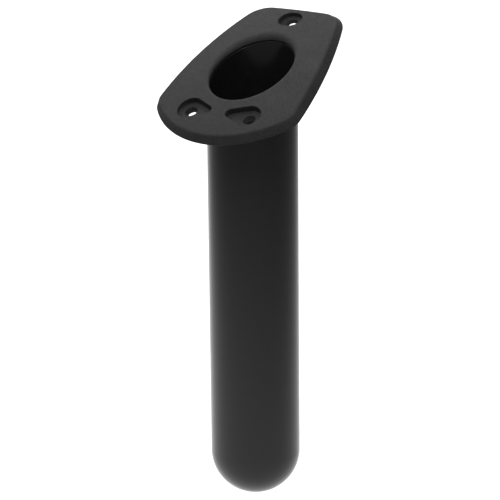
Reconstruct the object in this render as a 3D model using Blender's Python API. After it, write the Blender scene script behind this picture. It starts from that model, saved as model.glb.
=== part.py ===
"""Flush-mount rod holder: a raked flange head, a closed tube and the bond between them.

Frame, in metres: +Z runs up the tube's axis, +X points to the narrow, high end of the flange,
and the origin is where that axis crosses the flange's seating plane.
The head is modelled in its own flange frame (u, v, h): u along the seat towards the narrow end,
v across it and h square to it, measured up from the seat.
"""
import math

import bmesh
import bpy
from mathutils import Matrix, Vector

MM = 0.001

# Tube
TUBE_RADIUS = 24.0 * MM
TUBE_WALL = 1.75 * MM
TUBE_REACH = 227.9 * MM            # seat crossing down to the bottom of the closed end
TUBE_SIDES = 72
DOME_STEPS = 9

# Flange
RAKE = math.radians(30.0)          # between the tube's axis and the flange's normal
FLANGE_HEIGHT = 7.3 * MM           # seat to the highest point of the crowned top
CROWN_ACROSS = 1.75 * MM           # fall of the crown over CROWN_SPAN_ACROSS
CROWN_ALONG = 3.0 * MM             # fall of the crown over CROWN_SPAN_ALONG
CROWN_SPAN_ACROSS = 40.0 * MM
CROWN_SPAN_ALONG = 52.0 * MM
SIDE_LEAN = 1.9 * MM               # how far the side leans in from the seat to the rounded edge
TOP_EDGE_ROUND = 1.8 * MM
NARROW_END_MARGIN = 11.6 * MM      # narrow screw to the flat narrow end, along u
WIDE_END_MARGIN = 19.1 * MM        # wide screws to the tip of the wide end's arc, along u
WIDE_CORNER_SETBACK = 3.8 * MM     # wide screws to the wide corner, towards the tube
SIDE_MARGIN = 20.3 * MM            # tube's side to where the side's arc meets the wide end's arc
SIDE_TAPER = 17.5 * MM             # how much narrower each side stands at the narrow end
SIDE_BULGE = 3.8 * MM              # height of the side's arc over its chord
NARROW_CORNER_ROUND = 15.4 * MM
WIDE_CORNER_ROUND = 10.6 * MM

# Mouth, socket and bond
LIP_ROUND = 2.6 * MM
LIP_FLARE = 0.2 * MM               # how far the mouth's cutter leans out above the lip
LIP_DEPTH = 4.0 * MM               # top of the flange down to the shoulder that stops the tube
COLLAR_DEPTH = 9.0 * MM            # how far the socket's collar stands below the seat
COLLAR_WALL = 2.6 * MM
BOND_THICKNESS = 0.5 * MM
BOND_BEAD = 0.8 * MM               # squeezed-out bead below the collar's rim
PIECE_GAP = 0.3 * MM               # clearance between pieces that touch

# Screw pockets
HOLE_FLOOR_RADIUS = 3.4 * MM       # screw hole where it leaves the pocket's floor
HOLE_SEAT_RADIUS = 2.6 * MM        # the hole narrows towards the seat
HOLE_OVERRUN = 1.0 * MM            # how far the hole's cutter runs past the floor and the seat
WIDE_POCKET_FLOOR = 3.0 * MM       # floor of the two wide pockets above the seat
NARROW_POCKET_FLOOR = 2.0 * MM     # the top is lower there, so this floor is too
POCKET_RADIUS = 7.0 * MM
POCKET_TAIL_RADIUS = 2.8 * MM
POCKET_TAIL_REACH = 10.75 * MM     # from the screw's centre to the tail's centre, towards v = 0
NARROW_POCKET_RADIUS = 5.9 * MM
NARROW_POCKET_STRETCH = 0.75 * MM  # half the distance between its two arc centres, across
WIDE_SCREW_GAP = 3.95 * MM         # tube's raked outline at the seat to the wide screws, along u
NARROW_SCREW_GAP = 16.4 * MM       # and to the narrow screw
WIDE_SCREW_V = 18.2 * MM

# Sizes that follow
RAKED_REACH = TUBE_RADIUS / math.cos(RAKE)
WIDE_SCREW_U = -RAKED_REACH - WIDE_SCREW_GAP
NARROW_SCREW_U = RAKED_REACH + NARROW_SCREW_GAP
NARROW_END = NARROW_SCREW_U + NARROW_END_MARGIN
WIDE_END = WIDE_END_MARGIN - WIDE_SCREW_U
WIDE_CORNER_U = WIDE_SCREW_U + WIDE_CORNER_SETBACK
WIDE_HALF = TUBE_RADIUS + SIDE_MARGIN
NARROW_HALF = WIDE_HALF - SIDE_TAPER
BORE_RADIUS = TUBE_RADIUS - TUBE_WALL
BOND_INNER = TUBE_RADIUS + PIECE_GAP
BOND_OUTER = BOND_INNER + BOND_THICKNESS
SOCKET_RADIUS = BOND_OUTER + PIECE_GAP
COLLAR_RADIUS = SOCKET_RADIUS + COLLAR_WALL
SHOULDER_HEIGHT = FLANGE_HEIGHT - LIP_DEPTH
TUBE_TOP_HEIGHT = SHOULDER_HEIGHT - PIECE_GAP
CUT_MARGIN = 4.0 * MM              # how far a cutter runs past what it cuts

FLANGE_TO_WORLD = Matrix.Rotation(-RAKE, 4, "Y")


def clear_scene():
    for item in list(bpy.data.objects):
        bpy.data.objects.remove(item, do_unlink=True)


def make_material(name, colour, roughness):
    material = bpy.data.materials.new(name)
    material.use_nodes = True
    shader = material.node_tree.nodes["Principled BSDF"]
    shader.inputs["Base Color"].default_value = (*colour, 1.0)
    shader.inputs["Roughness"].default_value = roughness
    shader.inputs["Metallic"].default_value = 0.0
    return material


def add_object(name, vertices, faces):
    mesh = bpy.data.meshes.new(name)
    mesh.from_pydata(vertices, [], faces)
    mesh.update()
    made = bpy.data.objects.new(name, mesh)
    bpy.context.scene.collection.objects.link(made)
    return made


def stack_rings(rings):
    """Closed skin over rings of equal length, listed from the bottom up; a one-point ring is a pole."""
    vertices = [point for ring in rings for point in ring]
    faces = []
    start = 0
    for lower, upper in zip(rings, rings[1:]):
        upper_start = start + len(lower)
        count = max(len(lower), len(upper))
        for index in range(count):
            after = (index + 1) % count
            if len(lower) == 1:
                faces.append((start, upper_start + after, upper_start + index))
            elif len(upper) == 1:
                faces.append((start + index, start + after, upper_start))
            else:
                faces.append((start + index, start + after, upper_start + after, upper_start + index))
        start = upper_start
    if len(rings[0]) > 1:
        faces.append(tuple(reversed(range(len(rings[0])))))
    if len(rings[-1]) > 1:
        faces.append(tuple(range(start, start + len(rings[-1]))))
    return vertices, faces


def arc(centre, radius, start, end, steps):
    """Points on an arc, both ends included."""
    points = []
    for step in range(steps + 1):
        angle = start + (end - start) * step / steps
        points.append((centre[0] + radius * math.cos(angle), centre[1] + radius * math.sin(angle)))
    return points


def turn_angles(sides):
    return [2.0 * math.pi * index / sides for index in range(sides)]


def raked_height(x, height):
    """World z of the point above x on the plane that lies at this height over the seat."""
    return x * math.tan(RAKE) + height / math.cos(RAKE)


def raked_ring(radius, height, sides):
    """Ring on the tube's cylinder of this radius, cut parallel to the flange at this height."""
    points = []
    for angle in turn_angles(sides):
        x = radius * math.cos(angle)
        points.append((x, radius * math.sin(angle), raked_height(x, height)))
    return points


def crown_height(u, v):
    """Height of the flange's crowned top over the seat."""
    fall_across = CROWN_ACROSS * (v / CROWN_SPAN_ACROSS) ** 2
    fall_along = CROWN_ALONG * (u / CROWN_SPAN_ALONG) ** 2
    return FLANGE_HEIGHT - fall_across - fall_along


def circle_through_chord(first, second, bulge):
    """Centre and radius of the arc from first to second that bulges to the outside, away from v = 0."""
    chord = Vector(second) - Vector(first)
    radius = (chord.length ** 2 / 4.0 + bulge ** 2) / (2.0 * bulge)
    outward = Vector((chord.y, -chord.x)).normalized()
    if outward.y < 0.0:
        outward = -outward
    middle = (Vector(first) + Vector(second)) / 2.0
    centre = middle - outward * (radius - bulge)
    return centre, radius


def meet_inside(centre_a, reach_a, centre_b, reach_b):
    """The point at these distances from the two centres that has the larger v."""
    between = centre_b - centre_a
    distance = between.length
    along = (reach_a ** 2 - reach_b ** 2 + distance ** 2) / (2.0 * distance)
    across = math.sqrt(reach_a ** 2 - along ** 2)
    base = centre_a + between / distance * along
    side = Vector((-between.y, between.x)) / distance * across
    return max(base + side, base - side, key=lambda point: point.y)


def outline_arcs():
    """Centre, radius, start and end angle of the arcs on the v > 0 half, narrow end first."""
    side_centre, side_radius = circle_through_chord(
        (NARROW_END, NARROW_HALF), (WIDE_CORNER_U, WIDE_HALF), SIDE_BULGE)
    wide_u = (WIDE_CORNER_U ** 2 + WIDE_HALF ** 2 - WIDE_END ** 2) / (2.0 * (WIDE_CORNER_U + WIDE_END))
    wide_centre = Vector((wide_u, 0.0))
    wide_radius = WIDE_END + wide_u
    corner_u = NARROW_END - NARROW_CORNER_ROUND
    reach = side_radius - NARROW_CORNER_ROUND
    corner_v = side_centre.y + math.sqrt(reach ** 2 - (corner_u - side_centre.x) ** 2)
    narrow_centre = Vector((corner_u, corner_v))
    corner_centre = meet_inside(side_centre, side_radius - WIDE_CORNER_ROUND,
                                wide_centre, wide_radius - WIDE_CORNER_ROUND)
    to_narrow = narrow_centre - side_centre
    to_side = corner_centre - side_centre
    to_wide = corner_centre - wide_centre
    narrow_turn = math.atan2(to_narrow.y, to_narrow.x)
    side_turn = math.atan2(to_side.y, to_side.x)
    wide_turn = math.atan2(to_wide.y, to_wide.x)
    return [
        (narrow_centre, NARROW_CORNER_ROUND, 0.0, narrow_turn, 9),
        (side_centre, side_radius, narrow_turn, side_turn, 10),
        (corner_centre, WIDE_CORNER_ROUND, side_turn, wide_turn, 8),
        (wide_centre, wide_radius, wide_turn, math.pi, 10),
    ]


def outline_ring(inset):
    """Flange outline moved in by inset: (u, v) points, anticlockwise from the middle of the narrow end."""
    half = [(NARROW_END - inset, 0.0)]
    for centre, radius, start, end, steps in outline_arcs():
        points = arc(centre, radius - inset, start, end, steps)
        if len(half) > 1:
            points = points[1:]
        half.extend(points)
    mirrored = [(u, -v) for u, v in reversed(half[1:-1])]
    return half + mirrored


def flange_blank():
    """The flange before it is cut: flat seat, leaning side, rounded top edge and crowned top."""
    edge_steps = 5
    crown_steps = 7
    lean = math.atan2(SIDE_LEAN, FLANGE_HEIGHT - TOP_EDGE_ROUND)
    brim = outline_ring(SIDE_LEAN + TOP_EDGE_ROUND * math.cos(lean))
    brim_heights = [crown_height(u, v) for u, v in brim]
    rings = [[(u, v, 0.0) for u, v in outline_ring(0.0)]]
    for step in range(edge_steps + 1):
        turn = lean + (math.pi / 2.0 - lean) * step / edge_steps
        inset = SIDE_LEAN + TOP_EDGE_ROUND * (math.cos(lean) - math.cos(turn))
        drop = TOP_EDGE_ROUND * (1.0 - math.sin(turn))
        ring = outline_ring(inset)
        rings.append([(u, v, top - drop) for (u, v), top in zip(ring, brim_heights)])
    for step in range(1, crown_steps):
        share = 1.0 - step / crown_steps
        rings.append([(u * share, v * share, crown_height(u * share, v * share)) for u, v in brim])
    rings.append([(0.0, 0.0, crown_height(0.0, 0.0))])
    vertices, faces = stack_rings(rings)
    blank = add_object("head", vertices, faces)
    blank.data.transform(FLANGE_TO_WORLD)
    return blank


def raked_cylinder(name, radius, low, high):
    """Solid cylinder on the tube's axis whose ends lie parallel to the flange."""
    ends = [raked_ring(radius, height, TUBE_SIDES) for height in (low, high)]
    vertices, faces = stack_rings(ends)
    return add_object(name, vertices, faces)


def bore_point(angle, height, spread):
    """Point of the bore's wall at this height over the seat, moved out by spread along the flange."""
    along = BORE_RADIUS / math.cos(RAKE)
    normal = Vector((math.cos(angle) / along, math.sin(angle) / BORE_RADIUS)).normalized()
    u = along * math.cos(angle) + height * math.tan(RAKE) + spread * normal.x
    v = BORE_RADIUS * math.sin(angle) + spread * normal.y
    return Vector((u, v, height))


def mouth_cutter():
    """The bore right through the head, flaring at the top into the rounded lip."""
    lip_steps = 6
    angles = turn_angles(TUBE_SIDES)
    bottom = -COLLAR_DEPTH - CUT_MARGIN
    rings = [[bore_point(angle, bottom, 0.0) for angle in angles]]
    columns = []
    for angle in angles:
        guess = bore_point(angle, FLANGE_HEIGHT, 0.0)
        corner = bore_point(angle, crown_height(guess.x, guess.y), 0.0)
        wall = bore_point(angle, corner.z - LIP_ROUND * math.cos(RAKE), 0.0)
        brim = bore_point(angle, corner.z, LIP_ROUND)
        brim.z = crown_height(brim.x, brim.y)
        column = []
        for step in range(lip_steps + 1):
            share = step / lip_steps
            rest = 1.0 - share
            column.append(wall * rest ** 2 + corner * 2.0 * share * rest + brim * share ** 2)
        above = bore_point(angle, corner.z, LIP_ROUND + LIP_FLARE)
        above.z += CUT_MARGIN
        column.append(above)
        columns.append(column)
    rings.extend([list(ring) for ring in zip(*columns)])
    vertices, faces = stack_rings(rings)
    cutter = add_object("mouth_cutter", vertices, faces)
    cutter.data.transform(FLANGE_TO_WORLD)
    return cutter


def hull_of_circles(first, first_radius, second, second_radius, steps):
    """Outline round two circles: an arc on each, joined by their outer tangents, anticlockwise."""
    between = Vector(second) - Vector(first)
    heading = math.atan2(between.y, between.x)
    lean = math.acos((first_radius - second_radius) / between.length)
    far = arc(second, second_radius, heading - lean, heading + lean, steps)
    near = arc(first, first_radius, heading + lean, heading - lean + 2.0 * math.pi, steps)
    return far + near


def pocket_outlines():
    """Outline and floor height of each pocket."""
    outlines = []
    for side in (1.0, -1.0):
        screw = (WIDE_SCREW_U, side * WIDE_SCREW_V)
        tail = (WIDE_SCREW_U, side * (WIDE_SCREW_V - POCKET_TAIL_REACH))
        wide = hull_of_circles(screw, POCKET_RADIUS, tail, POCKET_TAIL_RADIUS, 12)
        outlines.append((wide, WIDE_POCKET_FLOOR))
    left = (NARROW_SCREW_U, NARROW_POCKET_STRETCH)
    right = (NARROW_SCREW_U, -NARROW_POCKET_STRETCH)
    narrow = hull_of_circles(left, NARROW_POCKET_RADIUS, right, NARROW_POCKET_RADIUS, 14)
    outlines.append((narrow, NARROW_POCKET_FLOOR))
    return outlines


def stacked_cutter(name, stacks):
    """One cutter made of several stacks of rings, all in the flange frame."""
    vertices = []
    faces = []
    for rings in stacks:
        stack_vertices, stack_faces = stack_rings(rings)
        base = len(vertices)
        vertices.extend(stack_vertices)
        faces.extend([tuple(base + index for index in face) for face in stack_faces])
    cutter = add_object(name, vertices, faces)
    cutter.data.transform(FLANGE_TO_WORLD)
    return cutter


def pocket_stacks():
    stacks = []
    for outline, floor in pocket_outlines():
        heights = (floor, FLANGE_HEIGHT + CUT_MARGIN)
        stacks.append([[(u, v, height) for u, v in outline] for height in heights])
    return stacks


def screw_places():
    return [(WIDE_SCREW_U, WIDE_SCREW_V), (WIDE_SCREW_U, -WIDE_SCREW_V), (NARROW_SCREW_U, 0.0)]


def hole_stacks():
    """A cone for each screw hole, continued past the pocket's floor and the seat at the same slope."""
    sides = 24
    last_turn = 2.0 * math.pi * (sides - 1) / sides
    floors = (WIDE_POCKET_FLOOR, WIDE_POCKET_FLOOR, NARROW_POCKET_FLOOR)
    stacks = []
    for place, floor in zip(screw_places(), floors):
        slope = (HOLE_FLOOR_RADIUS - HOLE_SEAT_RADIUS) / floor
        rings = []
        for height in (-HOLE_OVERRUN, floor + HOLE_OVERRUN):
            radius = HOLE_SEAT_RADIUS + slope * height
            circle = arc(place, radius, 0.0, last_turn, sides - 1)
            rings.append([(u, v, height) for u, v in circle])
        stacks.append(rings)
    return stacks


def combine(target, tool, operation):
    tool.hide_render = True
    tool.display_type = "WIRE"
    step = target.modifiers.new(tool.name, "BOOLEAN")
    step.operation = operation
    step.solver = "EXACT"
    step.object = tool


def shade_round(target):
    target.data.shade_smooth()
    target.data.set_sharp_from_angle(angle=math.radians(35.0))


def build_head():
    head = flange_blank()
    head.data.materials.append(make_material("head_nylon", (0.045, 0.046, 0.048), 0.62))
    collar_top = NARROW_POCKET_FLOOR / 2.0
    combine(head, raked_cylinder("collar_blank", COLLAR_RADIUS, -COLLAR_DEPTH, collar_top), "UNION")
    combine(head, mouth_cutter(), "DIFFERENCE")
    socket = raked_cylinder("socket_cutter", SOCKET_RADIUS, -COLLAR_DEPTH - CUT_MARGIN, SHOULDER_HEIGHT)
    combine(head, socket, "DIFFERENCE")
    combine(head, stacked_cutter("pocket_cutter", pocket_stacks()), "DIFFERENCE")
    combine(head, stacked_cutter("screw_hole_cutter", hole_stacks()), "DIFFERENCE")
    shade_round(head)
    return head


def dome_rings(radius, centre_z):
    """Rings of the closed lower half-sphere, from just above the pole up to its equator."""
    rings = []
    for step in range(1, DOME_STEPS + 1):
        turn = math.pi / 2.0 * step / DOME_STEPS
        ring_radius = radius * math.sin(turn)
        z = centre_z - radius * math.cos(turn)
        rings.append([(ring_radius * math.cos(angle), ring_radius * math.sin(angle), z)
                      for angle in turn_angles(TUBE_SIDES)])
    return rings


def build_tube():
    """Straight tube with a half-sphere end, its mouth cut parallel to the flange."""
    centre_z = TUBE_RADIUS - TUBE_REACH
    outer = [[(0.0, 0.0, -TUBE_REACH)]]
    outer += dome_rings(TUBE_RADIUS, centre_z)
    outer.append(raked_ring(TUBE_RADIUS, TUBE_TOP_HEIGHT, TUBE_SIDES))
    inner = [raked_ring(BORE_RADIUS, TUBE_TOP_HEIGHT, TUBE_SIDES)]
    inner += reversed(dome_rings(BORE_RADIUS, centre_z))
    inner.append([(0.0, 0.0, TUBE_WALL - TUBE_REACH)])
    vertices, faces = stack_rings(outer + inner)
    tube = add_object("tube", vertices, faces)
    tube.data.materials.append(make_material("tube_nylon", (0.022, 0.022, 0.023), 0.42))
    shade_round(tube)
    return tube


def build_bond_ring():
    """Cured adhesive: a thin sleeve in the socket, ending in a chamfered bead below the collar."""
    top = TUBE_TOP_HEIGHT - PIECE_GAP
    rim = -COLLAR_DEPTH
    chamfer = BOND_THICKNESS / 2.0
    outer = [
        raked_ring(BOND_OUTER - chamfer, rim - BOND_BEAD, TUBE_SIDES),
        raked_ring(BOND_OUTER, rim - BOND_BEAD + chamfer, TUBE_SIDES),
        raked_ring(BOND_OUTER, top, TUBE_SIDES),
    ]
    inner = [raked_ring(BOND_INNER, top, TUBE_SIDES), raked_ring(BOND_INNER, rim - BOND_BEAD, TUBE_SIDES)]
    rings = outer + inner
    vertices = [point for ring in rings for point in ring]
    faces = []
    for level in range(len(rings)):
        start = level * TUBE_SIDES
        upper_start = (level + 1) % len(rings) * TUBE_SIDES
        for index in range(TUBE_SIDES):
            after = (index + 1) % TUBE_SIDES
            faces.append((start + index, start + after, upper_start + after, upper_start + index))
    ring = add_object("bond_ring", vertices, faces)
    ring.data.materials.append(make_material("bond_adhesive", (0.05, 0.048, 0.044), 0.35))
    shade_round(ring)
    return ring


clear_scene()
build_head()
build_tube()
build_bond_ring()
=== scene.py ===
import math

import bpy
import numpy as np
from mathutils import Matrix, Quaternion, Vector
from mathutils.geometry import delaunay_2d_cdt


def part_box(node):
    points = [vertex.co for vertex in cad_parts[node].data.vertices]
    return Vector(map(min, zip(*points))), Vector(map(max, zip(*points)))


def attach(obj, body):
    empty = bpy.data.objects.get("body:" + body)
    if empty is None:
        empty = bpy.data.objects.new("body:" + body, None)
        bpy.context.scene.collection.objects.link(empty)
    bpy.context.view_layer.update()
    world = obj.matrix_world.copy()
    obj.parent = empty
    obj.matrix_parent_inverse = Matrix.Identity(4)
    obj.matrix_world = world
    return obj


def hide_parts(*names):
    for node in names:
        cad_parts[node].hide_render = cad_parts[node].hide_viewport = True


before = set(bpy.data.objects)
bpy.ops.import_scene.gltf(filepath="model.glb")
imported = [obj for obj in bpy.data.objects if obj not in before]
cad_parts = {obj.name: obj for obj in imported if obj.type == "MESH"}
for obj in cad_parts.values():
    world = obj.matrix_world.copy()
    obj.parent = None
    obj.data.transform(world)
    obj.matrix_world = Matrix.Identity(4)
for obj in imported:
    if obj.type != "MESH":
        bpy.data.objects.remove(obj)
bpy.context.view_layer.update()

mm = 0.001
tubeLow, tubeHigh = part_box("tube")
tubeRadius = (tubeHigh.x - tubeLow.x) / 2.0
tubeBottom = tubeLow.z
rake = math.radians(30.0)  # between the tube's axis and the flange's normal
flangeToWorld = Matrix.Rotation(-rake, 4, "Y")
print("frame loaded: tube radius", round(tubeRadius / mm, 2), "mm, bottom",
      round(tubeBottom / mm, 1), "mm")


class Skin:
    # points and faces of one closed piece, filled ring by ring
    def __init__(self):
        self.points = []
        self.faces = []

    def ring(self, points):
        start = len(self.points)
        self.points.extend(Vector(p) for p in points)
        return list(range(start, len(self.points)))

    def bridge(self, lower, upper, flip=False):
        count = len(lower)
        for i in range(count):
            j = (i + 1) % count
            face = (lower[i], lower[j], upper[j], upper[i])
            self.faces.append(face[::-1] if flip else face)

    def bridgeAll(self, rings, flip=False):
        for lower, upper in zip(rings, rings[1:]):
            self.bridge(lower, upper, flip)

    def fan(self, ring, tip, flip=False):
        self.points.append(Vector(tip))
        last = len(self.points) - 1
        for i in range(len(ring)):
            face = (ring[i], ring[(i + 1) % len(ring)], last)
            self.faces.append(face[::-1] if flip else face)

    def make(self, name, matrix=None):
        mesh = bpy.data.meshes.new(name)
        mesh.from_pydata(self.points, [], self.faces)
        if matrix is not None:
            mesh.transform(matrix)
        mesh.update()
        mesh.shade_smooth()
        made = bpy.data.objects.new(name, mesh)
        bpy.context.scene.collection.objects.link(made)
        return made


def insideLoop(points, loop):
    # even-odd test of many points against one closed loop
    inside = np.zeros(len(points), bool)
    x, y = points[:, 0], points[:, 1]
    for i in range(len(loop)):
        (x1, y1), (x2, y2) = loop[i - 1], loop[i]
        if y1 == y2:
            continue
        crosses = (y1 > y) != (y2 > y)
        inside ^= crosses & (x < (x2 - x1) * (y - y1) / (y2 - y1) + x1)
    return inside


def fillBetween(skin, outer, holes, heightAt, spacing, facingUp=True):
    # triangulates what lies inside the outer ring and outside the holes, seen from above,
    # with an even grid of inner points that keeps clear of the rings
    clearance = spacing * 0.6
    tolerance = 1e-9
    loops = [outer] + holes
    flat = [[(skin.points[i].x, skin.points[i].y) for i in loop] for loop in loops]
    border = np.array([p for loop in flat for p in loop])
    low, high = border.min(0), border.max(0)
    columns = np.arange(low[0], high[0], spacing)
    rows = np.arange(low[1], high[1], spacing * math.sqrt(3.0) / 2.0)
    grid = np.array([(u + (k % 2) * spacing / 2.0, v) for k, v in enumerate(rows) for u in columns])
    keep = insideLoop(grid, flat[0])
    for loop in flat[1:]:
        keep &= ~insideLoop(grid, loop)
    grid = grid[keep]
    if len(grid):
        nearest = np.array([np.min(np.hypot(*(border - p).T)) for p in grid])
        grid = grid[nearest > clearance]
    ids = [i for loop in loops for i in loop] + skin.ring([(u, v, heightAt(u, v)) for u, v in grid])
    coords = [Vector(p) for p in border] + [Vector(p) for p in grid]
    edges = []
    start = 0
    for loop in loops:
        count = len(loop)
        edges += [(start + i, start + (i + 1) % count) for i in range(count)]
        start += count
    places, _, triangles, sources = delaunay_2d_cdt(coords, edges, [], 0, tolerance)[:4]
    centres = np.array([sum((places[i] for i in t), Vector((0.0, 0.0))) / 3.0 for t in triangles])
    good = insideLoop(centres, flat[0])
    for loop in flat[1:]:
        good &= ~insideLoop(centres, loop)
    for triangle, wanted in zip(triangles, good):
        if not wanted:
            continue
        corners = [ids[sources[i][0]] for i in triangle]
        a, b, c = (skin.points[i] for i in corners)
        up = (b.x - a.x) * (c.y - a.y) - (b.y - a.y) * (c.x - a.x) > 0.0
        skin.faces.append(tuple(corners if up == facingUp else corners[::-1]))


def arc(centre, radius, start, end, steps):
    turns = [start + (end - start) * i / steps for i in range(steps + 1)]
    return [(centre[0] + radius * math.cos(t), centre[1] + radius * math.sin(t)) for t in turns]


def quarter(steps):
    # (sine, 1 - cosine) pairs of a quarter turn, for a rounded edge
    turns = [math.pi / 2.0 * i / steps for i in range(steps + 1)]
    return [(math.sin(t), 1.0 - math.cos(t)) for t in turns]


head = {
    "height": 7.3 * mm,           # seat to the top of the crown
    "crownAcross": 1.75 * mm,     # fall of the crown at sideReach out to the sides
    "crownAlong": 3.0 * mm,       # and at endReach out to the ends
    "sideReach": 40.0 * mm,
    "endReach": 52.0 * mm,
    "topRound": 1.8 * mm,
    "sideLean": 1.9 * mm,         # how far the side leans in on its way up
    "seatRound": 0.45 * mm,
    "narrowEnd": 55.713 * mm,
    "wideEnd": 50.763 * mm,
    "narrowHalf": 26.8 * mm,
    "wideHalf": 44.3 * mm,
    "wideCornerU": -27.863 * mm,
    "sideBulge": 3.8 * mm,
    "narrowCorner": 15.4 * mm,
    "wideCorner": 10.6 * mm,
    "tubeWall": 1.75 * mm,
    "lipRound": 2.6 * mm,
    "lipDepth": 4.0 * mm,
    "socketGap": 1.1 * mm,        # tube to socket wall, filled by the bond
    "collarWall": 2.6 * mm,
    "collarDepth": 9.0 * mm,
    "collarRound": 1.2 * mm,
    "collarEdge": 0.8 * mm,       # rounding of the collar's lower edge
    "socketFlare": 0.4 * mm,      # bevel at the socket's mouth
    "holeFloor": 3.4 * mm,        # hole radius at the pocket's floor
    "holeSeat": 2.6 * mm,         # and at the seat
    "holeRound": 0.08 * mm,
    "widePocketFloor": 3.0 * mm,
    "narrowPocketFloor": 2.0 * mm,
    "pocketRadius": 7.0 * mm,
    "tailRadius": 2.8 * mm,
    "tailReach": 10.75 * mm,
    "narrowPocket": 5.9 * mm,
    "narrowStretch": 0.75 * mm,
    "wideScrewU": -31.663 * mm,
    "wideScrewV": 18.2 * mm,
    "narrowScrewU": 44.113 * mm,
    "pocketEdge": 0.28 * mm,      # rounding of a pocket's rim
    "pocketFoot": 0.5 * mm,       # and of its floor's corner
    "pocketDraft": 0.12 * mm,
    "grid": 1.7 * mm,             # spacing of the points inside the top
    "seatGrid": 4.0 * mm,
    "pocketGrid": 1.1 * mm,
    "sides": 160,                 # points round the mouth, socket and collar
    "holeSides": 40,
    "pocketSteps": 16,
    "outlineSteps": (18, 40, 12, 26),
    "straightSteps": 10,
    "wallShares": (0.35, 0.7),    # heights of the rows between the seat and the top edge
    "topSteps": 9,
    "lipSteps": 10,
    "seatSteps": 4,
    "edgeSteps": 5,
    "holeSteps": 3,
}
boreRadius = tubeRadius - head["tubeWall"]
socketRadius = tubeRadius + head["socketGap"]
collarRadius = socketRadius + head["collarWall"]
shoulder = head["height"] - head["lipDepth"]


def crown(u, v):
    across = head["crownAcross"] * (v / head["sideReach"]) ** 2
    along = head["crownAlong"] * (u / head["endReach"]) ** 2
    return head["height"] - across - along


def outlineArcs():
    # arcs of the v > 0 half, narrow end first: centre, radius, start, end, steps
    near = Vector((head["narrowEnd"], head["narrowHalf"]))
    far = Vector((head["wideCornerU"], head["wideHalf"]))
    chord = far - near
    bulge = head["sideBulge"]
    sideRadius = (chord.length ** 2 / 4.0 + bulge ** 2) / (2.0 * bulge)
    outward = Vector((chord.y, -chord.x)).normalized()
    if outward.y < 0.0:
        outward = -outward
    side = (near + far) / 2.0 - outward * (sideRadius - bulge)
    wideU = (far.x ** 2 + far.y ** 2 - head["wideEnd"] ** 2) / (2.0 * (far.x + head["wideEnd"]))
    wide = Vector((wideU, 0.0))
    wideRadius = head["wideEnd"] + wideU
    cornerU = head["narrowEnd"] - head["narrowCorner"]
    reach = sideRadius - head["narrowCorner"]
    narrow = Vector((cornerU, side.y + math.sqrt(reach ** 2 - (cornerU - side.x) ** 2)))
    reachA, reachB = sideRadius - head["wideCorner"], wideRadius - head["wideCorner"]
    between = wide - side
    along = (reachA ** 2 - reachB ** 2 + between.length ** 2) / (2.0 * between.length)
    across = math.sqrt(reachA ** 2 - along ** 2)
    base = side + between.normalized() * along
    step = Vector((-between.y, between.x)).normalized() * across
    corner = max(base + step, base - step, key=lambda p: p.y)
    turns = [math.atan2(d.y, d.x) for d in (narrow - side, corner - side, corner - wide)]
    steps = head["outlineSteps"]
    return [
        (narrow, head["narrowCorner"], 0.0, turns[0], steps[0]),
        (side, sideRadius, turns[0], turns[1], steps[1]),
        (corner, head["wideCorner"], turns[1], turns[2], steps[2]),
        (wide, wideRadius, turns[2], math.pi, steps[3]),
    ]


outlineShape = outlineArcs()


def outline(inset):
    first = outlineShape[0]
    straight = head["straightSteps"]
    half = [(head["narrowEnd"] - inset, first[0].y * i / straight) for i in range(straight)]
    for centre, radius, start, end, steps in outlineShape:
        points = arc(centre, radius - inset, start, end, steps)
        half.extend(points if len(half) == straight else points[1:])
    return half + [(u, -v) for u, v in reversed(half[1:-1])]


def barrel(radius, height, spread=0.0):
    # ring on a cylinder round the tube's axis, cut parallel to the flange,
    # moved out along the flange by spread
    ring = []
    for i in range(head["sides"]):
        t = 2.0 * math.pi * i / head["sides"]
        wide = radius / math.cos(rake)
        normal = Vector((math.cos(t) / wide, math.sin(t) / radius)).normalized() * spread
        ring.append(Vector((wide * math.cos(t) + height * math.tan(rake) + normal.x,
                            radius * math.sin(t) + normal.y, height)))
    return ring


def lipRings():
    # rounded mouth: a curve that leaves the bore's wall and lands flat on the crown
    steps = head["lipSteps"]
    corners = []
    for i in range(head["sides"]):
        t = 2.0 * math.pi * i / head["sides"]
        wide = boreRadius / math.cos(rake)
        normal = Vector((math.cos(t) / wide, math.sin(t) / boreRadius)).normalized()

        def wall(height):
            return Vector((wide * math.cos(t) + height * math.tan(rake),
                           boreRadius * math.sin(t), height))

        guess = wall(head["height"])
        corner = wall(crown(guess.x, guess.y))
        low = wall(corner.z - head["lipRound"] * math.cos(rake))
        brim = corner + Vector((normal.x, normal.y, 0.0)) * head["lipRound"]
        brim.z = crown(brim.x, brim.y)
        corners.append((low, corner, brim))
    rings = []
    for k in range(steps + 1):
        s = k / steps
        rings.append([a * (1 - s) ** 2 + b * 2 * s * (1 - s) + c * s ** 2 for a, b, c in corners])
    return rings


def pocketLoop(first, firstRadius, second, secondRadius, spread, steps):
    # an arc on each of two circles, joined by their outer tangents
    between = Vector(second) - Vector(first)
    heading = math.atan2(between.y, between.x)
    lean = math.acos((firstRadius - secondRadius) / between.length)
    far = arc(second, secondRadius + spread, heading - lean, heading + lean, steps)
    near = arc(first, firstRadius + spread,
               heading + lean, heading - lean + 2.0 * math.pi, steps * 2)
    return far + near


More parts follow.
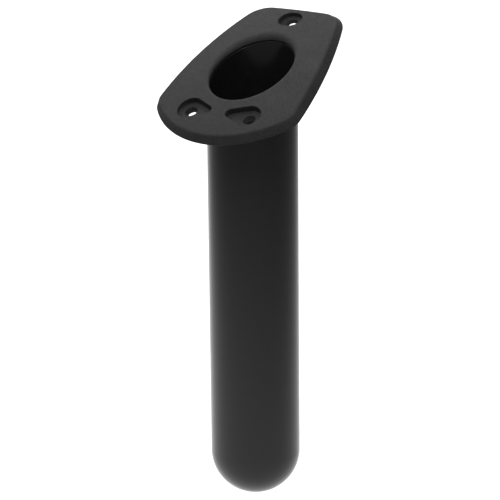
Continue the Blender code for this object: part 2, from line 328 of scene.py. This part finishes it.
def addPocket(skin, screw, shape, floor):
    # one screw pocket with its hole; returns the rings that the top and the seat join
    first, firstRadius, second, secondRadius = shape
    edge, foot, draft = head["pocketEdge"], head["pocketFoot"], head["pocketDraft"]

    def loop(spread):
        return pocketLoop(first, firstRadius, second, secondRadius, spread, head["pocketSteps"])

    rimTops = [crown(u, v) for u, v in loop(edge)]
    rings = []
    for rise, pull in quarter(head["edgeSteps"]):
        # from the top's brim down to the wall
        rim = zip(loop(edge * (1.0 - rise)), rimTops)
        rings.append(skin.ring([(u, v, top - edge * pull) for (u, v), top in rim]))
    for rise, pull in quarter(head["edgeSteps"]):
        # from the wall into the floor
        spread = -draft - foot * pull
        rings.append(skin.ring([(u, v, floor + foot * (1.0 - rise)) for u, v in loop(spread)]))
    skin.bridgeAll(rings)
    soft, sides = head["holeRound"], head["holeSides"]

    def circle(radius, height):
        points = arc(screw, radius, 0.0, 2.0 * math.pi * (sides - 1) / sides, sides - 1)
        return skin.ring([(u, v, height) for u, v in points])

    bends = quarter(head["holeSteps"])
    down = [circle(head["holeFloor"] + soft * (1.0 - rise), floor - soft * pull)
            for rise, pull in bends]
    down += [circle(head["holeSeat"] + soft * pull, soft * (1.0 - rise)) for rise, pull in bends]
    fillBetween(skin, rings[-1], [down[0]], lambda u, v: floor, head["pocketGrid"])
    skin.bridgeAll(down)
    return rings[0], down[-1]


def buildHead():
    skin = Skin()
    # outer wall from the seat up to the top's brim
    soft, edge, lean = head["seatRound"], head["topRound"], head["sideLean"]
    tilt = math.atan2(lean, head["height"] - edge)
    brimTops = [crown(u, v) for u, v in outline(lean + edge * math.cos(tilt))]
    wall = [skin.ring([(u, v, soft * pull) for u, v in outline(soft * (1.0 - rise))])
            for rise, pull in quarter(head["seatSteps"])]
    for share in head["wallShares"]:
        wall.append(skin.ring([(u, v, soft + (top - edge * (1.0 - math.sin(tilt)) - soft) * share)
                               for (u, v), top in zip(outline(lean * share), brimTops)]))
    for k in range(head["topSteps"] + 1):
        turn = tilt + (math.pi / 2.0 - tilt) * k / head["topSteps"]
        inset = lean + edge * (math.cos(tilt) - math.cos(turn))
        wall.append(skin.ring([(u, v, top - edge * (1.0 - math.sin(turn)))
                               for (u, v), top in zip(outline(inset), brimTops)]))
    skin.bridgeAll(wall)
    # mouth, shoulder, socket and collar
    lip = [skin.ring(r) for r in lipRings()]
    bore = [skin.ring(barrel(boreRadius, shoulder)), lip[0]]
    skin.bridgeAll(bore + lip[1:], flip=True)
    depth, turn = head["collarDepth"], head["collarRound"]
    flare, foot = head["socketFlare"], head["collarEdge"]
    down = [bore[0], skin.ring(barrel(socketRadius, shoulder)),
            skin.ring(barrel(socketRadius, flare - depth)),
            skin.ring(barrel(socketRadius + flare, -depth))]
    for rise, pull in quarter(head["edgeSteps"]):
        down.append(skin.ring(barrel(collarRadius - foot * (1.0 - rise), -depth + foot * pull)))
    for rise, pull in quarter(head["edgeSteps"]):
        down.append(skin.ring(barrel(collarRadius, -turn * (1.0 - rise), turn * pull)))
    skin.bridgeAll(down)
    # three pockets
    u, v = head["wideScrewU"], head["wideScrewV"]
    stretch = head["narrowStretch"]
    places = []
    for side in (1.0, -1.0):
        screw = (u, side * v)
        tail = (u, side * (v - head["tailReach"]))
        shape = (screw, head["pocketRadius"], tail, head["tailRadius"])
        places.append((screw, shape, head["widePocketFloor"]))
    narrow = head["narrowScrewU"]
    ends = ((narrow, stretch), head["narrowPocket"], (narrow, -stretch), head["narrowPocket"])
    places.append(((narrow, 0.0), ends, head["narrowPocketFloor"]))
    pairs = [addPocket(skin, *place) for place in places]
    fillBetween(skin, wall[-1], [lip[-1]] + [top for top, _ in pairs], crown, head["grid"])
    fillBetween(skin, wall[0], [down[-1]] + [seat for _, seat in pairs], lambda u, v: 0.0,
                head["seatGrid"], facingUp=False)
    return skin.make("flangeHead", flangeToWorld)


flangeHead = buildHead()
print("head built:", len(flangeHead.data.polygons), "faces")


tube = {
    "rimRound": 0.1 * mm,
    "headGap": 0.05 * mm,         # from the tube's rim to the head's shoulder
    "sides": 192,
    "domeSteps": 26,
    "rows": 40,
    "rimSteps": 4,
}


def buildTube():
    skin = Skin()
    sides = tube["sides"]
    turns = [2.0 * math.pi * i / sides for i in range(sides)]
    top = shoulder - tube["headGap"]

    def level(radius, z):
        return skin.ring([(radius * math.cos(t), radius * math.sin(t), z) for t in turns])

    def raked(radius, height):
        return skin.ring([(radius * math.cos(t), radius * math.sin(t),
                           radius * math.cos(t) * math.tan(rake) + height / math.cos(rake))
                          for t in turns])

    centreZ = tubeBottom + tubeRadius

    def wallRows(radius, topHeight):
        # rows that run level at the bottom and lean over to the rake at the top
        rows = []
        for k in range(1, tube["rows"]):
            s = k / tube["rows"]
            ring = []
            for t in turns:
                x = radius * math.cos(t)
                high = x * math.tan(rake) + topHeight / math.cos(rake)
                ring.append((x, radius * math.sin(t), centreZ + (high - centreZ) * s))
            rows.append(skin.ring(ring))
        return rows

    def dome(radius):
        rings = []
        for k in range(1, tube["domeSteps"] + 1):
            t = math.pi / 2.0 * k / tube["domeSteps"]
            rings.append(level(radius * math.sin(t), centreZ - radius * math.cos(t)))
        return rings

    soft = tube["rimRound"]
    bends = quarter(tube["rimSteps"])
    outer = dome(tubeRadius) + wallRows(tubeRadius, top - soft)
    outer += [raked(tubeRadius - soft * pull, top - soft * (1.0 - rise)) for rise, pull in bends]
    innerDome = dome(boreRadius)
    inner = [raked(boreRadius + soft * (1.0 - rise), top - soft * pull) for rise, pull in bends]
    inner += list(reversed(wallRows(boreRadius, top - soft))) + list(reversed(innerDome))
    skin.bridgeAll(outer + inner)
    skin.fan(outer[0], (0.0, 0.0, tubeBottom), flip=True)
    skin.fan(inner[-1], (0.0, 0.0, tubeBottom + tubeRadius - boreRadius))
    return skin.make("closedTube")


closedTube = buildTube()
print("tube built:", len(closedTube.data.polygons), "faces")


bond = {
    "inner": 0.3 * mm,       # clearance to the tube
    "outer": 0.8 * mm,
    "bead": 0.8 * mm,
    "topGap": 0.6 * mm,
    "sides": 160,
    "waver": 0.12 * mm,      # uneven height of the squeezed-out bead
    "ripples": ((5.0, 0.7, 1.0), (11.0, 2.0, 0.6)),    # count round the tube, start, share
    "footSteps": 8,
}


def buildBond():
    skin = Skin()
    turns = [2.0 * math.pi * i / bond["sides"] for i in range(bond["sides"])]

    def raked(radius, heights):
        return skin.ring([(radius * math.cos(t), radius * math.sin(t),
                           radius * math.cos(t) * math.tan(rake) + h / math.cos(rake))
                          for t, h in zip(turns, heights)])

    rim = -head["collarDepth"]
    ripple = [sum(share * math.sin(count * t + start) for count, start, share in bond["ripples"])
              for t in turns]
    foot = [rim - bond["bead"] + bond["waver"] * height for height in ripple]
    top = [shoulder - bond["topGap"]] * len(turns)
    inner, outer = tubeRadius + bond["inner"], tubeRadius + bond["outer"]
    middle, half = (inner + outer) / 2.0, (outer - inner) / 2.0
    rings = []
    for k in range(bond["footSteps"] + 1):
        t = math.pi * k / bond["footSteps"]
        lift = half * (1.0 - math.sin(t))
        rings.append(raked(middle - half * math.cos(t), [f + lift for f in foot]))
    rings.append(raked(outer, top))
    rings.append(raked(inner, top))
    skin.bridgeAll(rings + [rings[0]])
    return skin.make("bondBead")


bondBead = buildBond()
print("bond built:", len(bondBead.data.polygons), "faces")


def newGroup(name, inputs, outputs):
    group = bpy.data.node_groups.new(name, "ShaderNodeTree")
    for label, kind, value in inputs:
        socket = group.interface.new_socket(label, in_out="INPUT", socket_type=kind)
        if value is not None:
            socket.default_value = value
    for label, kind in outputs:
        group.interface.new_socket(label, in_out="OUTPUT", socket_type=kind)
    return group, group.nodes.new("NodeGroupInput"), group.nodes.new("NodeGroupOutput")


def noise(tree, scale, detail, roughness=0.5):
    node = tree.nodes.new("ShaderNodeTexNoise")
    node.inputs["Scale"].default_value = scale
    node.inputs["Detail"].default_value = detail
    node.inputs["Roughness"].default_value = roughness
    return node


def maths(tree, operation, a, b):
    node = tree.nodes.new("ShaderNodeMath")
    node.operation = operation
    for socket, value in zip(node.inputs, (a, b)):
        if isinstance(value, (int, float)):
            socket.default_value = value
        else:
            tree.links.new(value, socket)
    return node.outputs[0]


def mapRange(tree, value, low, high, toLow=0.0, toHigh=1.0):
    node = tree.nodes.new("ShaderNodeMapRange")
    node.interpolation_type = "SMOOTHSTEP"
    limits = {"From Min": low, "From Max": high, "To Min": toLow, "To Max": toHigh}
    for label, number in limits.items():
        node.inputs[label].default_value = number
    tree.links.new(value, node.inputs["Value"])
    return node.outputs["Result"]


grainPattern = {             # noises: scale, detail, roughness
    "coarse": (1.0, 2.0, 0.55),
    "fine": (3.1, 1.0, 0.5),
    "broad": (0.035, 3.0, 0.6),
    "pits": (0.36, 0.66),
    "tooth": 0.35,
    "highSpots": (0.35, 1.1),
    "patches": (0.3, 0.7),
}


def makeGrainGroup():
    # spark-eroded mould grain: rounded pits over a finer tooth, with a mask that is light
    # on the high spots
    group, inside, out = newGroup(
        "mouldGrain",
        [("Vector", "NodeSocketVector", None), ("Grain Size", "NodeSocketFloat", 0.5),
         ("Unevenness", "NodeSocketFloat", 0.5)],
        [("Height", "NodeSocketFloat"), ("High Spots", "NodeSocketFloat"),
         ("Patches", "NodeSocketFloat")])
    scaled = group.nodes.new("ShaderNodeVectorMath")
    scaled.operation = "SCALE"
    group.links.new(inside.outputs["Vector"], scaled.inputs[0])
    perMetre = maths(group, "DIVIDE", 1000.0, inside.outputs["Grain Size"])    # size is in mm
    group.links.new(perMetre, scaled.inputs["Scale"])
    coarse, fine, broad = (noise(group, *grainPattern[k]) for k in ("coarse", "fine", "broad"))
    for node in (coarse, fine, broad):
        group.links.new(scaled.outputs[0], node.inputs["Vector"])
    pits = mapRange(group, coarse.outputs["Fac"], *grainPattern["pits"])
    tooth = maths(group, "MULTIPLY", fine.outputs["Fac"], grainPattern["tooth"])
    height = maths(group, "ADD", pits, tooth)
    spots = mapRange(group, height, *grainPattern["highSpots"])
    slow = mapRange(group, broad.outputs["Fac"], *grainPattern["patches"])
    patches = maths(group, "MULTIPLY", slow, inside.outputs["Unevenness"])
    group.links.new(height, out.inputs["Height"])
    group.links.new(spots, out.inputs["High Spots"])
    group.links.new(patches, out.inputs["Patches"])
    return group


handlingPattern = {          # noises: scale, detail, roughness
    "cloud": (38.0, 4.0, 0.65),
    "lines": (1.0, 3.0, 0.6),
    "lineScale": (900.0, 900.0, 14.0),
    "rubs": (0.58, 0.78),
    "dust": (0.42, 0.66),
}


def makeHandlingGroup():
    # cloudy patches of dust and faint rub marks drawn along the tube
    group, inside, out = newGroup(
        "handling",
        [("Vector", "NodeSocketVector", None), ("Marks", "NodeSocketFloat", 0.5)],
        [("Dust", "NodeSocketFloat"), ("Rubs", "NodeSocketFloat")])
    cloud = noise(group, *handlingPattern["cloud"])
    group.links.new(inside.outputs["Vector"], cloud.inputs["Vector"])
    stretch = group.nodes.new("ShaderNodeMapping")
    stretch.inputs["Scale"].default_value = handlingPattern["lineScale"]
    group.links.new(inside.outputs["Vector"], stretch.inputs["Vector"])
    lines = noise(group, *handlingPattern["lines"])
    group.links.new(stretch.outputs[0], lines.inputs["Vector"])
    streaks = mapRange(group, lines.outputs["Fac"], *handlingPattern["rubs"])
    rubs = maths(group, "MULTIPLY", streaks, inside.outputs["Marks"])
    gate = mapRange(group, cloud.outputs["Fac"], *handlingPattern["dust"])
    group.links.new(gate, out.inputs["Dust"])
    group.links.new(maths(group, "MULTIPLY", rubs, gate), out.inputs["Rubs"])
    return group


grainGroup = makeGrainGroup()
handlingGroup = makeHandlingGroup()


def startMaterial(name):
    made = bpy.data.materials.new(name)
    made.use_nodes = True
    tree = made.node_tree
    place = tree.nodes.new("ShaderNodeTexCoord").outputs["Object"]
    return made, tree, tree.nodes["Principled BSDF"], place


def useGroup(tree, group, place, **values):
    node = tree.nodes.new("ShaderNodeGroup")
    node.node_tree = group
    tree.links.new(place, node.inputs["Vector"])
    for label, value in values.items():
        node.inputs[label.replace("_", " ")].default_value = value
    return node


def mixColour(tree, mask, first, second):
    firstInput, secondInput, colourOutput = 6, 7, 2    # the mix node's colour sockets
    node = tree.nodes.new("ShaderNodeMix")
    node.data_type = "RGBA"
    tree.links.new(mask, node.inputs["Factor"])
    for socket, value in ((node.inputs[firstInput], first), (node.inputs[secondInput], second)):
        if isinstance(value, tuple):
            socket.default_value = (*value, 1.0)
        else:
            tree.links.new(value, socket)
    return node.outputs[colourOutput]


def addBump(tree, shader, height, distance, strength):
    bump = tree.nodes.new("ShaderNodeBump")
    bump.inputs["Distance"].default_value = distance
    bump.inputs["Strength"].default_value = strength
    tree.links.new(height, bump.inputs["Height"])
    tree.links.new(bump.outputs["Normal"], shader.inputs["Normal"])


headFinish = {
    "low": (0.0104, 0.0102, 0.0106),
    "high": (0.0182, 0.0179, 0.0185),
    "dusty": (0.024, 0.0237, 0.0242),
    "roughLow": 0.52,
    "roughHigh": 0.72,
    "sheen": 0.09,
    "grainSize": 0.42,       # in mm
    "grainDepth": 0.09 * mm,
    "grainStrength": 0.8,
    "unevenness": 0.6,
    "dust": 0.35,
}


def makeHeadMaterial():
    made, tree, shader, place = startMaterial("grainedNylon")
    grain = useGroup(tree, grainGroup, place, Grain_Size=headFinish["grainSize"],
                     Unevenness=headFinish["unevenness"])
    marks = useGroup(tree, handlingGroup, place, Marks=0.0)
    body = mixColour(tree, grain.outputs["High Spots"], headFinish["low"], headFinish["high"])
    share = maths(tree, "MULTIPLY", grain.outputs["Patches"], headFinish["dust"])
    film = maths(tree, "MULTIPLY", marks.outputs["Dust"], share)
    tree.links.new(mixColour(tree, film, body, headFinish["dusty"]), shader.inputs["Base Color"])
    rough = mapRange(tree, grain.outputs["High Spots"], 0.0, 1.0,
                     headFinish["roughHigh"], headFinish["roughLow"])
    tree.links.new(rough, shader.inputs["Roughness"])
    addBump(tree, shader, grain.outputs["Height"], headFinish["grainDepth"],
            headFinish["grainStrength"])
    shader.inputs["Specular IOR Level"].default_value = headFinish["sheen"]
    return made


tubeFinish = {
    "low": (0.0034, 0.0033, 0.0035),
    "high": (0.0042, 0.0041, 0.0043),
    "rub": (0.0075, 0.0075, 0.0077),
    "roughLow": 0.19,
    "roughHigh": 0.22,
    "sheen": 0.30,
    "grainSize": 0.16,       # in mm
    "unevenness": 1.0,
    "marks": 0.25,
    "rubRough": 0.12,        # added roughness on a rub mark
    "wave": 0.05 * mm,
    "waveScale": (26.0, 26.0, 9.0),
    "waveStrength": 1.0,
}


def makeTubeMaterial():
    made, tree, shader, place = startMaterial("satinNylon")
    grain = useGroup(tree, grainGroup, place, Grain_Size=tubeFinish["grainSize"],
                     Unevenness=tubeFinish["unevenness"])
    marks = useGroup(tree, handlingGroup, place, Marks=tubeFinish["marks"])
    body = mixColour(tree, grain.outputs["Patches"], tubeFinish["low"], tubeFinish["high"])
    worn = mixColour(tree, marks.outputs["Rubs"], body, tubeFinish["rub"])
    tree.links.new(worn, shader.inputs["Base Color"])
    rough = mapRange(tree, grain.outputs["Patches"], 0.0, 1.0,
                     tubeFinish["roughLow"], tubeFinish["roughHigh"])
    scuffed = maths(tree, "MULTIPLY", marks.outputs["Rubs"], tubeFinish["rubRough"])
    tree.links.new(maths(tree, "ADD", rough, scuffed), shader.inputs["Roughness"])
    shader.inputs["Specular IOR Level"].default_value = tubeFinish["sheen"]
    # slow unevenness left by shrinkage as the moulding cools
    stretch = tree.nodes.new("ShaderNodeMapping")
    stretch.inputs["Scale"].default_value = tubeFinish["waveScale"]
    tree.links.new(place, stretch.inputs["Vector"])
    slow = noise(tree, 1.0, 1.0)
    tree.links.new(stretch.outputs[0], slow.inputs["Vector"])
    addBump(tree, shader, slow.outputs["Fac"], tubeFinish["wave"],
            tubeFinish["waveStrength"])
    return made


bondFinish = {
    "low": (0.020, 0.019, 0.018),
    "high": (0.045, 0.043, 0.040),
    "rough": (0.25, 0.5),
    "grainSize": 1.4,        # in mm
    "grainDepth": 0.06 * mm,
    "grainStrength": 0.6,
    "unevenness": 1.0,
}


def makeBondMaterial():
    made, tree, shader, place = startMaterial("curedAdhesive")
    grain = useGroup(tree, grainGroup, place, Grain_Size=bondFinish["grainSize"],
                     Unevenness=bondFinish["unevenness"])
    tree.links.new(mixColour(tree, grain.outputs["Patches"], bondFinish["low"], bondFinish["high"]),
                   shader.inputs["Base Color"])
    tree.links.new(mapRange(tree, grain.outputs["High Spots"], 0.0, 1.0, *bondFinish["rough"]),
                   shader.inputs["Roughness"])
    addBump(tree, shader, grain.outputs["Height"], bondFinish["grainDepth"],
            bondFinish["grainStrength"])
    return made


flangeHead.data.materials.append(makeHeadMaterial())
closedTube.data.materials.append(makeTubeMaterial())
bondBead.data.materials.append(makeBondMaterial())
shadingWeight = 60
for piece, node, slot in (
        (flangeHead, "head", "head_nylon"),
        (closedTube, "tube", "tube_nylon"),
        (bondBead, "bond_ring", "bond_adhesive")):
    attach(piece, "root")
    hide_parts(node)
    weights = piece.modifiers.new("evenShading", "WEIGHTED_NORMAL")
    weights.keep_sharp = True
    weights.weight = shadingWeight
print("materials made")


studio = {
    "floorDrop": 60.0 * mm,
    "floorSize": 14.0,
    "floorColour": (0.93, 0.93, 0.93),
    "floorRough": 0.9,
    "worldColour": (1.0, 1.0, 1.0),
    "worldStrength": 0.15,
    "panels": (              # name, place, target, size, turn in degrees, watts
        ("overheadPanel", (0.92, 0.80, 0.26), (0.92, 0.80, 0.0), (3.2, 0.9), 35.0, 22.0),
        ("frontPanel", (-0.50, -0.36, 0.8), (0.0, 0.0, -0.05), (0.4, 0.4), 35.0, 5.4),
    ),
}
cameraSet = {
    "azimuth": 215.01,       # degrees round from +X
    "elevation": 16.24,
    "roll": -0.59,
    "distance": 1267.51 * mm,
    "target": (0.0, 0.0, -91.68 * mm),
    "side": -1.96 * mm,
    "rise": -0.23 * mm,
    "lens": 172.01,
    "sensor": 36.0,
    "clipEnd": 50.0,
}


def placeCamera():
    around, up = math.radians(cameraSet["azimuth"]), math.radians(cameraSet["elevation"])
    back = Vector((math.cos(up) * math.cos(around), math.cos(up) * math.sin(around), math.sin(up)))
    right = Vector((-math.sin(around), math.cos(around), 0.0))
    above = back.cross(right)
    turn = math.radians(cameraSet["roll"])
    x = right * math.cos(turn) + above * math.sin(turn)
    y = -right * math.sin(turn) + above * math.cos(turn)
    data = bpy.data.cameras.new("studioCamera")
    data.lens = cameraSet["lens"]
    data.sensor_width = cameraSet["sensor"]
    data.clip_end = cameraSet["clipEnd"]
    camera = bpy.data.objects.new("studioCamera", data)
    place = Vector(cameraSet["target"]) + back * cameraSet["distance"]
    place = place + x * cameraSet["side"] + y * cameraSet["rise"]
    camera.matrix_world = Matrix.Translation(place) @ Matrix((x, y, back)).transposed().to_4x4()
    bpy.context.scene.collection.objects.link(camera)
    bpy.context.scene.camera = camera


def addFloor():
    half = studio["floorSize"] / 2.0
    z = tubeBottom - studio["floorDrop"]
    mesh = bpy.data.meshes.new("studioFloor")
    corners = [(-half, -half, z), (half, -half, z), (half, half, z), (-half, half, z)]
    mesh.from_pydata(corners, [], [(0, 1, 2, 3)])
    floor = bpy.data.objects.new("studioFloor", mesh)
    bpy.context.scene.collection.objects.link(floor)
    material = bpy.data.materials.new("paleFloor")
    material.use_nodes = True
    shader = material.node_tree.nodes["Principled BSDF"]
    shader.inputs["Base Color"].default_value = (*studio["floorColour"], 1.0)
    shader.inputs["Roughness"].default_value = studio["floorRough"]
    shader.inputs["Specular IOR Level"].default_value = 0.0
    mesh.materials.append(material)


def addPanel(name, place, target, size, turn, power):
    data = bpy.data.lights.new(name, "AREA")
    data.shape = "RECTANGLE"
    data.size, data.size_y = size
    data.energy = power
    panel = bpy.data.objects.new(name, data)
    panel.location = place
    facing = (Vector(target) - Vector(place)).to_track_quat("-Z", "Y")
    panel.rotation_euler = (facing @ Quaternion((0.0, 0.0, 1.0), math.radians(turn))).to_euler()
    bpy.context.scene.collection.objects.link(panel)


def lightStudio():
    world = bpy.data.worlds.new("studioWorld")
    world.use_nodes = True
    backdrop = world.node_tree.nodes["Background"]
    backdrop.inputs["Color"].default_value = (*studio["worldColour"], 1.0)
    backdrop.inputs["Strength"].default_value = studio["worldStrength"]
    bpy.context.scene.world = world
    for panel in studio["panels"]:
        addPanel(*panel)
    bpy.context.scene.view_settings.view_transform = "Standard"


placeCamera()
addFloor()
lightStudio()
print("studio set")
